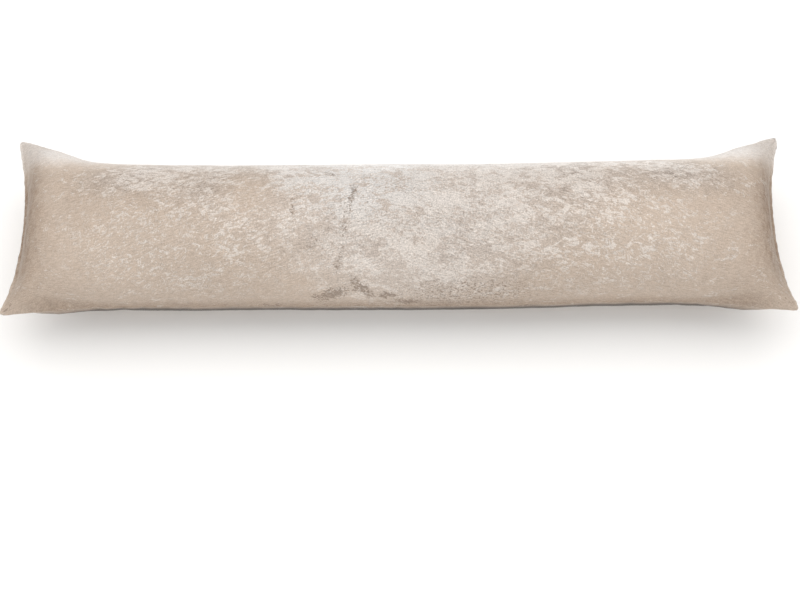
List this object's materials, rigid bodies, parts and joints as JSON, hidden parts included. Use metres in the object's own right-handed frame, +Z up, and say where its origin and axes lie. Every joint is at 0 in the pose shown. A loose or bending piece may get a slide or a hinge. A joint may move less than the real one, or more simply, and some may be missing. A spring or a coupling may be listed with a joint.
{
  "type": "bolster cushion",
  "caption": "Long stuffed bolster cushion in crushed velvet, knife-edge sewn, with drawn-in sides, flared corners and a crowned front.",
  "frame": {"origin": "on the surface that the bolster lies on, under the middle of its box", "axes": "+X along the bolster, +Y from the near long seam to the far one, +Z up out of the front panel"},
  "size_m": [1.47, 0.367, 0.2386],
  "materials": {
    "crushed_velvet": "crushed velvet pile, soft sheen"
  },
  "bodies": {
    "root": {"bolster_cushion": "crushed_velvet"}
  },
  "joints": []
}
